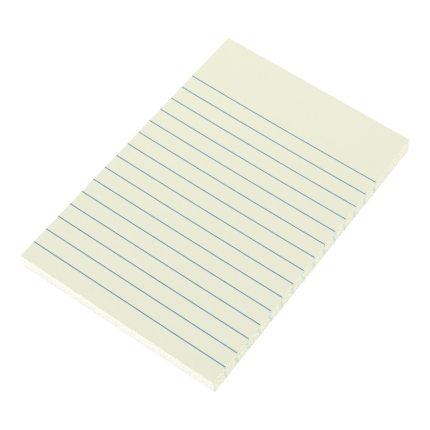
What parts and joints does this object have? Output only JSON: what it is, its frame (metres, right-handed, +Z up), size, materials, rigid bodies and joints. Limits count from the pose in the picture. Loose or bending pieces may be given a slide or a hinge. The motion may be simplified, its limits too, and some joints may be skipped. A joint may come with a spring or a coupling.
{
  "type": "ruled notepad",
  "caption": "Rectangular pad of self-stick paper sheets, ruled from edge to edge below a blank header band, lying flat on a plain backing sheet.",
  "frame": {"origin": "middle of the outline, on the surface that the pad lies on", "axes": "+X across the page from left to right, +Y up the page towards the header band, +Z up out of the top sheet"},
  "size_m": [0.102, 0.1532, 0.0092],
  "materials": {
    "sheet_paper": "matte uncoated, pale yellow",
    "ruling_ink": "matte printed blue",
    "ink_at_cut_edge": "matte, pale blue-grey tint on cut paper",
    "adhesive": "satin, clear adhesive on paper",
    "backing_paper": "smooth matte off-white"
  },
  "bodies": {
    "root": {"sheet_block": "sheet_paper", "ruled_lines": "ruling_ink", "line_ends": "ink_at_cut_edge", "adhesive_strip": "adhesive", "backing_sheet": "backing_paper"}
  },
  "joints": []
}
